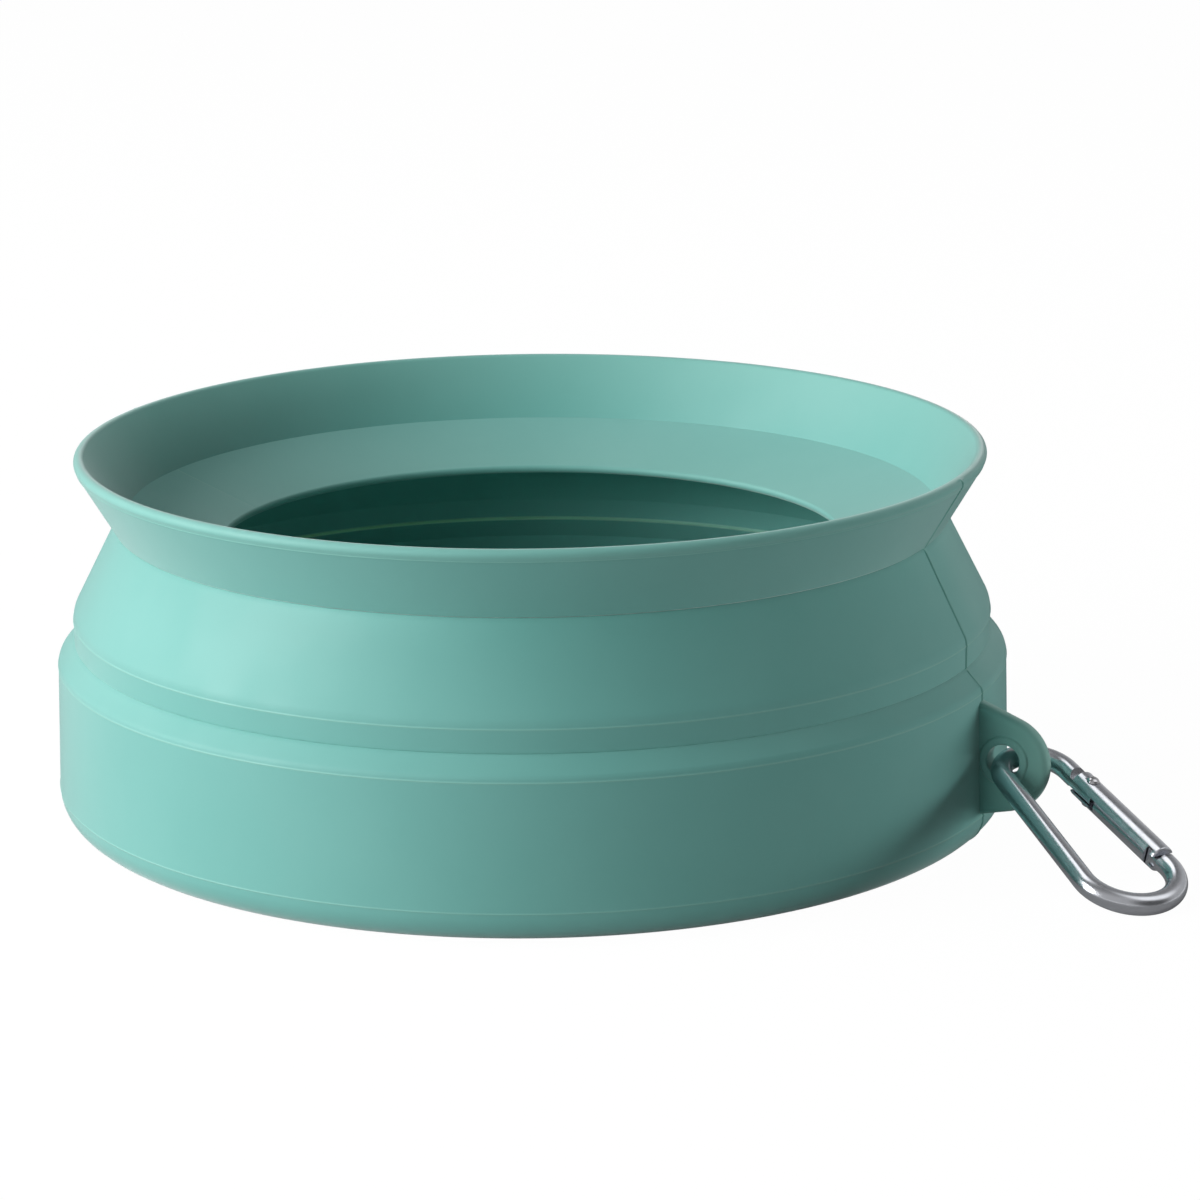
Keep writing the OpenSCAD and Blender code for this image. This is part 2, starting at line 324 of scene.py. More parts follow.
@dataclass
class Mould:
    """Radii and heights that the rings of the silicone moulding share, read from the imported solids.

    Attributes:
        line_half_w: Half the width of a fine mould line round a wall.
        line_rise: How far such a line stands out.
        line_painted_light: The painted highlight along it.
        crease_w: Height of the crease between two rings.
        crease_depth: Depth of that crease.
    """

    seam_r: float = field(init=False)
    base_r: float = field(init=False)
    collar_r: float = field(init=False)
    neck_inner_r: float = field(init=False)
    rim_r: float = field(init=False)
    base_h: float = field(init=False)
    collar_z: float = field(init=False)
    shoulder_z: float = field(init=False)
    neck_z: float = field(init=False)
    rim_z: float = field(init=False)
    guard_z: float = field(init=False)
    lip_z: float = field(init=False)
    base_wall: float = 2.4 * MM
    collar_wall: float = 2.2 * MM
    neck_wall: float = 2.1 * MM
    line_half_w: float = 0.26 * MM
    line_rise: float = 0.1 * MM
    line_painted_light: float = 0.8
    crease_w: float = 0.3 * MM
    crease_depth: float = 0.2 * MM

    def __post_init__(self) -> None:
        """Reads the solids' boxes."""
        high = {node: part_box(node)[1] for node in frame["nodes"]}
        self.seam_r, self.base_h = high["base_cup"].x, high["base_cup"].z
        self.base_r, self.collar_z = high["lower_fold"].x, high["lower_fold"].z
        self.collar_r, self.shoulder_z = high["collar_band"].x, high["collar_band"].z
        self.neck_z = high["shoulder_fold"].z
        self.rim_r, self.rim_z = high["flared_rim"].x, high["flared_rim"].z
        self.neck_inner_r, self.guard_z = high["splash_guard"].x, high["splash_guard"].z
        self.lip_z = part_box("splash_guard")[0].z

    @property
    def neck_r(self) -> float:
        """Outer radius of the neck."""
        return self.neck_inner_r + self.neck_wall

    def line(self, r: float, z: float, painted_light: float) -> list[Corner]:
        """Corners of a fine raised line round an upright wall, from its foot up, with a painted highlight on
        its crown.
        """
        return [Corner(r, z - self.line_half_w), Corner(r + self.line_rise, z, painted_light=painted_light),
                Corner(r, z + self.line_half_w)]


class Nodes:
    """Adds and links the nodes of one shader tree."""

    def __init__(self, tree: NodeTree) -> None:
        """Starts from an empty tree."""
        self.tree = tree
        tree.nodes.clear()

    def add(self, kind: str, settings: dict | None = None, *feeds: object,
            **inputs: object) -> Node:
        """Adds a node.

        Args:
            kind: The node's type name.
            settings: Properties of the node.
            *feeds: Values or links of its first sockets, in order.
            **inputs: Values or links, by the socket's name with underscores for spaces.

        Returns:
            The new node.
        """
        node = self.tree.nodes.new(kind)
        for name, value in (settings or {}).items():
            setattr(node, name, value)
        for socket, value in zip(node.inputs, feeds):
            self.feed(socket, value)
        for name, value in inputs.items():
            self.feed(node.inputs[name.replace("_", " ")], value)
        return node

    def feed(self, socket: NodeSocket, value: object) -> None:
        """Links an output to a socket, or sets the socket's own value.

        Args:
            socket: The socket.
            value: The output or the value.
        """
        if isinstance(value, NodeSocket):
            self.tree.links.new(value, socket)
        else:
            socket.default_value = value

    def noise(self, coords: NodeSocket, scale: NodeSocket, detail: float) -> NodeSocket:
        """Adds a noise texture and returns its value."""
        noise = self.add("ShaderNodeTexNoise", Vector=coords, Scale=scale, Detail=detail)
        return noise.outputs["Fac"]

    def math(self, kind: str, a: object, b: object) -> NodeSocket:
        """Adds a sum or other operation on two values and returns its result."""
        return self.add("ShaderNodeMath", {"operation": kind}, a, b).outputs[0]

    def spread(self, value: NodeSocket, old: Span, new: Span) -> NodeSocket:
        """Maps a value from one range to another, held at its ends."""
        node = self.add("ShaderNodeMapRange", Value=value, From_Min=old[0], From_Max=old[1],
                        To_Min=new[0], To_Max=new[1])
        return node.outputs[0]

    def mix(self, share: object, a: object, b: object) -> NodeSocket:
        """Mixes two colours.

        Args:
            share: Share of the second colour.
            a: The first colour.
            b: The second colour.

        Returns:
            The mixed colour.
        """
        # The sockets for colours come after those for numbers and vectors.
        node = self.add("ShaderNodeMix", {"data_type": "RGBA"}, share)
        self.feed(node.inputs[6], a)
        self.feed(node.inputs[7], b)
        return node.outputs[2]


def surface_marks() -> NodeTree:
    """Makes the group of clouds, grain and rubbed streaks that every finish shares.

    Returns:
        A group with the outputs Cloud, Grain and Rub, each about 0 to 1.
    """
    tree = bpy.data.node_groups.new("surface_marks", "ShaderNodeTree")
    for label in ("Cloud Scale", "Grain Scale", "Rub Scale", "Rub Stretch"):
        tree.interface.new_socket(label, in_out="INPUT", socket_type="NodeSocketFloat")
    for label in ("Cloud", "Grain", "Rub"):
        tree.interface.new_socket(label, in_out="OUTPUT", socket_type="NodeSocketFloat")
    nodes = Nodes(tree)
    given = nodes.add("NodeGroupInput").outputs
    place = nodes.add("ShaderNodeTexCoord").outputs["Object"]
    stretch = nodes.add("ShaderNodeCombineXYZ", X=1.0, Y=1.0, Z=given["Rub Stretch"]).outputs[0]
    along = nodes.add("ShaderNodeVectorMath", {"operation": "MULTIPLY"}, place, stretch).outputs[0]
    cloud = nodes.noise(place, given["Cloud Scale"], detail=3.0)
    grain = nodes.noise(place, given["Grain Scale"], detail=1.0)
    rub = nodes.noise(along, given["Rub Scale"], detail=4.0)
    nodes.add("NodeGroupOutput", Cloud=nodes.spread(cloud, CLOUD_SPAN, UNIT), Grain=grain,
              Rub=nodes.spread(rub, RUB_SPAN, UNIT))
    return tree


@dataclass(frozen=True, kw_only=True)
class Finish:
    """A finish of two clouded tones, with rubbed streaks and a fine relief.

    Attributes:
        name: Name of the material.
        colour: Its main colour.
        cloud_colour: Its colour where it is clouded.
        roughness: Least and greatest roughness along the streaks.
        scales: Scales of the clouds, the grain and the streaks, and the streaks' stretch.
        relief: The mark that stands out.
        relief_depth: How far it stands out.
        relief_strength: How strongly it shades.
    """

    name: str
    colour: Colour
    cloud_colour: Colour
    roughness: Span
    scales: tuple[float, float, float, float]
    relief: str
    relief_depth: float
    relief_strength: float

    def skin(self, nodes: Nodes, tone: NodeSocket) -> dict[str, object]:
        """Values and links of the shader that are this finish's own, by socket."""
        raise NotImplementedError

    def build(self, marks: NodeTree) -> Material:
        """Makes the material.

        Args:
            marks: The shared group of surface marks.

        Returns:
            The material.
        """
        material = bpy.data.materials.new(self.name)
        material.use_nodes = True
        material.cycles.emission_sampling = "NONE"
        nodes = Nodes(material.node_tree)
        mark = nodes.add("ShaderNodeGroup", {"node_tree": marks}, *self.scales).outputs
        tone = nodes.mix(mark["Cloud"], self.colour, self.cloud_colour)
        rough = nodes.spread(mark["Rub"], UNIT, self.roughness)
        bump = nodes.add("ShaderNodeBump", Strength=self.relief_strength,
                         Distance=self.relief_depth, Height=mark[self.relief])
        shader = nodes.add("ShaderNodeBsdfPrincipled", Roughness=rough, Normal=bump.outputs[0],
                           **self.skin(nodes, tone))
        nodes.add("ShaderNodeOutputMaterial", Surface=shader.outputs[0])
        return material


@dataclass(frozen=True, kw_only=True)
class SiliconeFinish(Finish):
    """Moulded silicone: a satin skin with a soft bloom, with painted highlights and a painted glow.

    Attributes:
        painted_light_colour: The paler colour of its painted highlights.
        painted_light_share: How far the painted light takes on that colour.
        painted_glow_colour: Colour of the painted glow that stands for light coming through.
        painted_glow_strength: Strength of that painted glow.
    """

    name: str = "moulded_silicone"
    colour: Colour = (0.143, 0.430, 0.387, 1.0)
    cloud_colour: Colour = (0.165, 0.455, 0.412, 1.0)
    roughness: Span = (0.55, 0.65)
    scales: tuple[float, float, float, float] = (26.0, 2600.0, 70.0, 0.6)
    relief: str = "Grain"
    relief_depth: float = 0.012 * MM
    relief_strength: float = 0.35
    painted_light_colour: Colour = (0.270, 0.560, 0.485, 1.0)
    painted_light_share: float = 0.75
    painted_glow_colour: Colour = (0.34, 1.0, 0.32, 1.0)
    painted_glow_strength: float = 0.05
    specular: float = 0.7
    sheen: float = 0.6
    sheen_roughness: float = 0.42

    def skin(self, nodes: Nodes, tone: NodeSocket) -> dict[str, object]:
        """Adds the painted highlights, the painted glow and the bloom.

        Args:
            nodes: The material's node builder.
            tone: The clouded tone.

        Returns:
            Values and links of the shader, by socket.
        """
        # Painted light: a paler colour for painted highlights, and emission for a painted glow above 1.
        painted_light = nodes.add("ShaderNodeAttribute", {"attribute_name": "painted_light"}).outputs["Fac"]
        share = nodes.math("MULTIPLY", painted_light, self.painted_light_share)
        painted_glow = nodes.spread(painted_light, (1.0, 2.0), (0.0, self.painted_glow_strength))
        return {"Base_Color": nodes.mix(share, tone, self.painted_light_colour),
                "Specular_IOR_Level": self.specular, "Sheen_Weight": self.sheen,
                "Sheen_Roughness": self.sheen_roughness, "Emission_Color": self.painted_glow_colour,
                "Emission_Strength": painted_glow}


@dataclass(frozen=True, kw_only=True)
class MetalFinish(Finish):
    """Polished or drawn metal, with fine rubbed streaks and handling clouds."""

    scales: tuple[float, float, float, float] = (220.0, 9000.0, 900.0, 0.25)
    relief: str = "Rub"
    relief_depth: float = 0.003 * MM
    relief_strength: float = 0.06

    def skin(self, nodes: Nodes, tone: NodeSocket) -> dict[str, object]:
        """Makes the tone a metal's."""
        return {"Base_Color": tone, "Metallic": 1.0}


FINISHES: dict[Slot, Finish] = {
    Slot.SILICONE: SiliconeFinish(),
    Slot.POLISHED: MetalFinish(name="polished_rod", colour=(0.76, 0.78, 0.83, 1.0),
                               cloud_colour=(0.70, 0.72, 0.77, 1.0), roughness=(0.2, 0.26)),
    Slot.RIVET: MetalFinish(name="rivet_steel", colour=(0.72, 0.72, 0.75, 1.0),
                            cloud_colour=(0.62, 0.62, 0.65, 1.0), roughness=(0.10, 0.20)),
    Slot.SPRING: MetalFinish(name="spring_wire", colour=(0.55, 0.56, 0.58, 1.0),
                             cloud_colour=(0.46, 0.46, 0.48, 1.0), roughness=(0.22, 0.36)),
}


def build_finishes() -> dict[Slot, Material]:
    """Builds the shared marks once and the material of every slot."""
    marks = surface_marks()
    return {slot: finish.build(marks) for slot, finish in FINISHES.items()}


@dataclass(kw_only=True)
class Piece:
    """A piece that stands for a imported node.

    Attributes:
        node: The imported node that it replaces.
        body: The body that it rides on.
        slot: The record's slot for its finish.
        name: Name of its object, if it isn't the node's skin.
        crease_deg: Edges that turn more than this stay sharp.
    """

    node: str
    body: Body
    slot: Slot = Slot.SILICONE
    name: str = ""
    crease_deg: float = 38.0

    def shape(self) -> BMesh:
        """Models the piece where it lies."""
        raise NotImplementedError

    def refine(self, piece: Object) -> None:
        """Lets large faces set the shading beside small rounds."""
        piece.modifiers.new("even_normals", "WEIGHTED_NORMAL").keep_sharp = True

    def carry(self, piece: Object) -> Object:
        """Lets the piece ride on its body."""
        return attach(piece, self.body.value)

    def build(self, finishes: dict[Slot, Material]) -> Object:
        """Models and dresses the piece, in place of its node.

        Args:
            finishes: The object's materials.

        Returns:
            The finished piece.
        """
        piece = finish_mesh(self.name or f"{self.node}_skin", self.shape(), self.crease_deg)
        self.refine(piece)
        piece.data.materials.append(finishes[self.slot])
        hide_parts(self.node)
        return self.carry(piece)


@dataclass(kw_only=True)
class TurnedRing(Piece):
    """A ring of the moulding: a section turned on the lathe."""

    mould: Mould
    lathe: Lathe = field(default_factory=Lathe)
    loops: int = 0

    def profile(self) -> list[Corner]:
        """Corners of the ring's section, in order."""
        raise NotImplementedError

    def shape(self) -> BMesh:
        """Turns the section."""
        return self.lathe.turn(self.profile(), self.loops)


@dataclass(kw_only=True)
class BaseCup(TurnedRing):
    """The cup that the bowl stands on, with a rounded foot and a mould line above it."""

    node: str = "base_cup"
    body: Body = Body.BASE
    floor: float = 2.6 * MM
    foot_round: float = 5.75 * MM
    foot_line_painted_light: float = 0.7
    inner_round: float = 4.0 * MM

    def profile(self) -> list[Corner]:
        """Draws the section from the axis below, round the foot and the wall, to the axis above.

        Returns:
            Its corners, in order.
        """
        m = self.mould
        return [
            Corner(0.0, 0.0), Corner(m.seam_r, 0.0, self.foot_round),
            # The mould lines above the foot and below the top carry painted highlights.
            *m.line(m.seam_r, self.foot_round + m.line_half_w, self.foot_line_painted_light),
            *m.line(m.base_r, m.base_h - m.line_half_w, m.line_painted_light),
            Corner(m.base_r - m.base_wall, m.base_h),
            Corner(m.seam_r - m.base_wall, self.floor, self.inner_round), Corner(0.0, self.floor)]


@dataclass(kw_only=True)
class CollarBand(TurnedRing):
    """The short upright band between the two folds.

    Attributes:
        ridge: The fine ridge round its inner foot, from its top down: heights above the foot and
        rises in millimetres, and its painted light, which above 1 is a painted glow.
    """

    node: str = "collar_band"
    body: Body = Body.COLLAR
    ridge: tuple[tuple[float, float, float], ...] = (
        (1.04, 0.0, 0.0), (0.8, 0.0, 1.2), (0.44, 0.4, 2.0), (0.08, 0.0, 1.0))

    def profile(self) -> list[Corner]:
        """Draws the section, with the crease at its foot and its fine upper line.

        Returns:
            Its corners, in order.
        """
        m = self.mould
        inner = m.collar_r - m.collar_wall
        return [
            Corner(m.collar_r - m.crease_depth, m.collar_z),
            Corner(m.collar_r, m.collar_z + m.crease_w),
            *m.line(m.collar_r, m.shoulder_z - m.line_half_w, m.line_painted_light),
            Corner(inner, m.shoulder_z),
            # The real ridge carries a painted highlight, which turns into a painted glow above 1.
            *[Corner(inner - rise * MM, m.collar_z + height * MM, painted_light=painted_light)
              for height, rise, painted_light in self.ridge],
            Corner(inner, m.collar_z)]


@dataclass(kw_only=True)
class Fold(TurnedRing):
    """A slender web that turns inside out when the bowl is pushed flat: it bends between two bodies.

    Attributes:
        upper_body: The body that carries its upper edge.
        low: Outer lower edge, in radius and height.
        high: Outer upper edge.
        low_wall: Thickness at the lower edge.
        high_wall: Thickness at the upper edge.
        root_round: Rounding where it leaves its lower edge.
        tuck: How far both edges reach into their neighbours.
    """

    upper_body: Body
    low: Vector
    high: Vector
    low_wall: float
    high_wall: float
    root_round: float
    tuck: float = 0.15 * MM

    def profile(self) -> list[Corner]:
        """Draws the section: its rounded shoulder, its edges and its inner side.

        Returns:
            Its corners, in order.
        """
        m, low, high, tuck = self.mould, self.low, self.high, self.tuck
        centre = Vector((low.x - self.root_round, low.y))
        turn = tangent_turn(centre, self.root_round, high)
        bend = Vector((low.x, low.y + self.root_round * math.tan(turn / 2)))
        brink = high - (high - bend).normalized() * m.crease_w
        outer_high = high.x - m.crease_depth
        inner_low, inner_high = low.x - self.low_wall, high.x - self.high_wall
        return [
            Corner(low.x - tuck, low.y - tuck), Corner.at(low), Corner.at(bend, self.root_round),
            Corner.at(brink), Corner(outer_high, high.y), Corner(outer_high - tuck, high.y + tuck),
            Corner(inner_high + tuck, high.y + tuck), Corner(inner_high, high.y),
            Corner(inner_low, low.y), Corner(inner_low + tuck, low.y - tuck)]

    def carry(self, piece: Object) -> Object:
        """Lets the web bend from its lower body to its upper one."""
        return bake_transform(piece, self.body.value, self.upper_body.value,
                        start=(0.0, 0.0, self.low.y), end=(0.0, 0.0, self.high.y))


def lower_fold(m: Mould) -> Fold:
    """The short web between base and collar."""
    return Fold(
        mould=m, node="lower_fold", body=Body.BASE, upper_body=Body.COLLAR, loops=8,
        low=Vector((m.base_r, m.base_h)), high=Vector((m.collar_r, m.collar_z)),
        low_wall=m.base_wall, high_wall=m.collar_wall, root_round=1.6 * MM)


def shoulder_fold(m: Mould) -> Fold:
    """The tall web between collar and rim."""
    return Fold(
        mould=m, node="shoulder_fold", body=Body.COLLAR, upper_body=Body.RIM, loops=24,
        low=Vector((m.collar_r, m.shoulder_z)), high=Vector((m.neck_r, m.neck_z)),
        low_wall=m.collar_wall, high_wall=m.neck_wall, root_round=3.5 * MM)


@dataclass(kw_only=True)
class FlaredRim(TurnedRing):
    """The rim that flares out from the neck to a round edge with a fine mould line below it.

    Attributes:
        edge_d: Diameter of the round edge.
        edge_painted_light: The painted highlight on the edge.
        line_below: Distance of the mould line from the edge's round.
        line_share: Its width as a share of the other mould lines'.
        line_foot_painted_light: The painted highlight on the wall above it.
    """

    node: str = "flared_rim"
    body: Body = Body.RIM
    edge_d: float = 2.3 * MM
    edge_painted_light: float = 0.3
    line_below: float = 0.45 * MM
    line_share: float = 0.7
    line_foot_painted_light: float = 0.15

    def profile(self) -> list[Corner]:
        """Draws the section up the outside, round the edge and down the inside.

        Returns:
            Its corners, in order.
        """
        m = self.mould
        edge_r = self.edge_d / 2
        edge_round = edge_r * FULL_ROUND
        centre = Vector((m.rim_r - edge_r, m.rim_z - edge_r))
        low, crease = Vector((m.neck_r, m.neck_z)), Vector((m.neck_inner_r, m.guard_z))
        up, outer_top = past_round(low, centre, edge_r, -1)
        inner_top = past_round(crease, centre, edge_r, 1)[1]
        out = Vector((up.y, -up.x)) * m.line_rise
        step = up * self.line_share * m.line_half_w
        line = outer_top - up * (edge_r + self.line_below)
        return [
            Corner(m.neck_inner_r, m.neck_z), Corner(low.x - m.crease_depth, low.y),
            Corner.at(low + up * m.crease_w), Corner.at(line - step * 2),
            # The mould line and the round edge carry painted highlights.
            Corner.at(line - step - out), Corner.at(line + out, painted_light=1.0),
            Corner.at(line + step, painted_light=self.line_foot_painted_light),
            Corner.at(outer_top, edge_round, self.edge_painted_light),
            Corner.at(inner_top, edge_round, self.edge_painted_light), Corner.at(crease)]


@dataclass(kw_only=True)
class SplashGuard(TurnedRing):
    """The shallow funnel inside the neck that keeps water in."""

    node: str = "splash_guard"
    body: Body = Body.RIM
    reach: float = 17.6 * MM
    thickness: float = 1.6 * MM
    lip_painted_light: float = 0.2

    def profile(self) -> list[Corner]:
        """Draws the section from the root under the crease, out to the round lip and back.

        Returns:
            Its corners, in order.
        """
        m = self.mould
        lip_r = self.thickness / 2
        lip_round = lip_r * FULL_ROUND
        root = Vector((m.neck_inner_r, m.guard_z))
        lip = Vector((m.neck_inner_r - self.reach + lip_r, m.lip_z + lip_r))
        along, top = past_round(root, lip, lip_r, -1)
        under = top + Vector((-along.y, along.x)) * self.thickness
        under_root_z = m.guard_z - self.thickness / abs(along.x)
        return [
            # The round lip carries a painted highlight.
            Corner.at(root), Corner.at(top, lip_round, self.lip_painted_light),
            Corner.at(under, lip_round, self.lip_painted_light), Corner(m.neck_inner_r, under_root_z)]


@dataclass(frozen=True)
class LugLoop:
    """A loop of the lug's skin round its hole.

    Attributes:
        size: Its radius, or how far it is drawn in from the lug's outline.
        depth: Its distance from the lug's middle plane.
        inset: Whether it follows the outline.
        painted_light: The painted highlight on the silicone there.
    """

    size: float
    depth: float
    inset: bool = False
    painted_light: float = 0.0


@dataclass(kw_only=True)
class HangingLug(Piece):
    """The flat lug on the base wall, with a raised ring round its hole and a line along its edge.

    Attributes:
        end_r: Radius of its round end.
        end_drop: How far that round's centre lies below the hole's.
        end_in: How far it lies nearer to the wall.
        mouth_round: Rounding of the raised ring.
        mouth_painted_light: The painted highlight on the hole's mouth.
        edge_round: Rounding of the lug's edge.
        edge_painted_light: The painted highlight on that edge.
        root_sink: How far the root reaches into the wall.
        end_painted_light: The painted light towards the far end, which is painted lighter than the root.
        ring_gaps: Loops on the flat face outside the raised ring, by their distance from it.
        flat_insets: Loops on the flat face that follow the outline.
        quarter: Turns of the steps round the raised ring's edges, in degrees.
        edge_turns: Turns of the steps round the lug's edge, in degrees.
    """

    mould: Mould
    node: str = "hanging_lug"
    body: Body = Body.BASE
    crease_deg: float = 50.0
    end_r: float = 9.05 * MM
    end_drop: float = 0.9 * MM
    end_in: float = 0.75 * MM
    half_t: float = 1.8 * MM
    boss_r: float = 4.65 * MM
    boss_half_t: float = 2.25 * MM
    hole_r: float = 3.1 * MM
    mouth_round: float = 0.4 * MM
    mouth_painted_light: float = 0.15
    edge_round: float = 1.2 * MM
    edge_painted_light: float = 0.55
    root_sink: float = 0.7 * MM
    line_rise: float = 0.1 * MM
    end_painted_light: float = 0.7
    ring_gaps: tuple[float, ...] = (0.06 * MM, 0.3 * MM)
    flat_insets: tuple[float, ...] = (2.6 * MM, 1.9 * MM, 1.5 * MM)
    quarter: tuple[float, ...] = (0, 22, 45, 68, 90)
    edge_turns: tuple[float, ...] = (0, 15, 30, 45, 60, 75, 86)
    spokes: int = 144
    hole: Vector = field(init=False)
    root_low: float = field(init=False)
    root_top: float = field(init=False)

    def __post_init__(self) -> None:
        """Reads the hole's place and the root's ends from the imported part."""
        self.hole = Vector(JOINTS["carabiner_swing"]["pos_m"])
        low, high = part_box(self.node)
        self.root_low, self.root_top = low.z, high.z

    def reach(self, angle: float, inset: float) -> float:
        """Distance from the hole's centre to the lug's outline.

        Args:
            angle: Direction in the lug's plane, from +X towards +Z.
            inset: How far the outline is drawn in.

        Returns:
            The distance.
        """
        way = Vector((math.cos(angle), math.sin(angle)))
        end = Vector((-self.end_in, -self.end_drop))
        end_r = self.end_r - inset
        root_x = self.mould.base_r - self.root_sink - self.hole.x
        found = way.dot(end) + math.sqrt(way.dot(end) ** 2 - end.length_squared + end_r ** 2)
        on_end = way * found - end
        turn = math.atan2(on_end.y, on_end.x)
        for root_z, side in ((self.root_top - inset, 1), (self.root_low + inset, -1)):
            root = Vector((root_x, root_z - self.hole.z))
            touch = tangent_turn(end, end_r, root, side)
            normal = Vector((math.cos(touch), math.sin(touch)))
            if side * math.remainder(turn - touch, math.tau) > 0 and way.dot(normal) > 0:
                found = (normal.dot(end) + end_r) / way.dot(normal)
        return min(found, root_x / way.x) if way.x < 0 else found

    def half_section(self) -> list[LugLoop]:
        """Sets the loops over one face.

        Returns:
            The loops, from inside the hole to the lug's edge.
        """
        soft, edge = self.mouth_round, self.edge_round
        loops = [LugLoop(self.hole_r, self.half_t / 2)]
        quarter = [(math.sin(turn), math.cos(turn)) for turn in map(math.radians, self.quarter)]
        for sin, cos in quarter:
            loops.append(LugLoop(self.hole_r + soft * (1 - cos),
                                 self.boss_half_t - soft * (1 - sin), painted_light=self.mouth_painted_light * sin))
        for sin, cos in quarter:
            loops.append(LugLoop(self.boss_r - soft * (1 - sin),
                                 self.boss_half_t - soft * (1 - cos)))
        loops += [LugLoop(self.boss_r + gap, self.half_t) for gap in self.ring_gaps]
        loops += [LugLoop(inset, self.half_t, True) for inset in self.flat_insets]
        for turn in map(math.radians, self.edge_turns):
            loops.append(LugLoop(edge * (1 - math.sin(turn)),
                                 self.half_t - edge * (1 - math.cos(turn)), True,
                                 self.edge_painted_light * math.sin(turn)))
        return loops

    def shape(self) -> BMesh:
        """Draws the hole's edge out, loop by loop, over one face, round the edge and back.

        Returns:
            The lug.
        """
        bm = bmesh.new()
        painted_light = bm.verts.layers.float.new("painted_light")
        half = self.half_section()
        back = [replace(loop, depth=-loop.depth) for loop in reversed(half)]
        upright = Matrix.Translation(self.hole) @ Matrix.Rotation(math.pi / 2, 4, "X")
        verts = bmesh.ops.create_circle(bm, segments=self.spokes, radius=self.hole_r,
                                        matrix=upright)["verts"]
        first = edges = loop_edges(verts)
        for i, loop in enumerate([*half, LugLoop(-self.line_rise, 0.0, True, 1.0), *back]):
            if i:
                verts = parts_of(bmesh.ops.extrude_edge_only(bm, edges=edges)["geom"], BMVert)
                edges = loop_edges(verts)
            for vert in verts:
                flat = vert.co - self.hole
                angle = math.atan2(flat.z, flat.x)
                r = self.reach(angle, loop.size) if loop.inset else loop.size
                way = Vector((r * math.cos(angle), -loop.depth, r * math.sin(angle)))
                vert.co = self.hole + way
                # Painted light grows towards the far end; the mouth, the edge and the line carry painted
                # highlights.
                far = (vert.co.x - self.mould.base_r) / self.end_r
                vert[painted_light] = max(loop.painted_light, self.end_painted_light * far)
        bmesh.ops.bridge_loops(bm, edges=first + edges)
        return bm


def gate_line() -> Matrix:
    """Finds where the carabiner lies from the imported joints.

    Returns:
        The place of shapes that are drawn with the pivot at the origin and the gate along +X.
    """
    hinge = JOINTS["gate_hinge"]
    normal = -Vector(hinge["axis"]).normalized()
    along = Vector(JOINTS["plunger_slide"]["axis"]).normalized()
    axes = Matrix((along, normal.cross(along), normal)).transposed().to_4x4()
    return Matrix.Translation(Vector(hinge["pos_m"])) @ axes


def lengthwise(middle: float) -> Matrix:
    """Place of a round shape that lies along +X, with its middle on that axis."""
    return Matrix.Translation((middle, 0, 0)) @ Matrix.Rotation(math.pi / 2, 4, "Y")


def block(bm: BMesh, low: float, high: float, width: float, height: float) -> None:
    """Draws a block that lies along +X, with its middle on that axis.

    Args:
        bm: Where it is drawn.
        low: Where it starts.
        high: Where it ends.
        width: Its size along Y.
        height: Its size along Z.
    """
    size = Matrix.Diagonal((high - low, width, height, 1.0))
    centre = Matrix.Translation(((low + high) / 2, 0, 0))
    bmesh.ops.create_cube(bm, size=1.0, matrix=centre @ size)


@dataclass(kw_only=True)
class ClipPiece(Piece):
    """A piece of the carabiner, drawn with the pivot at the origin and the gate along +X.

    Attributes:
        place: Where the carabiner lies.
        edge_break: Width of its broken edges, or 0 where none are broken.
        edge_steps: Steps of a broken edge.
        edge_turn: Edges that turn more than this are broken.
    """

    place: Matrix
    slot: Slot = Slot.POLISHED
    edge_break: float = 0.0
    edge_steps: int = 2
    edge_turn: float = math.radians(35)

    def draw(self) -> BMesh:
        """Draws the piece at the origin."""
        raise NotImplementedError

    def shape(self) -> BMesh:
        """Carries the drawn piece to its place.

        Returns:
            The piece where it lies.
        """
        bm = self.draw()
        bmesh.ops.transform(bm, matrix=self.place, verts=bm.verts)
        return bm

    def refine(self, piece: Object) -> None:
        """Breaks the edges of a milled piece; a turned or wound one stays as it is.

        Args:
            piece: The piece.
        """
        if not self.edge_break:
            return
        edge = piece.modifiers.new("broken_edges", "BEVEL")
        edge.width, edge.segments = self.edge_break, self.edge_steps
        edge.limit_method = "ANGLE"
        edge.angle_limit = self.edge_turn
        super().refine(piece)


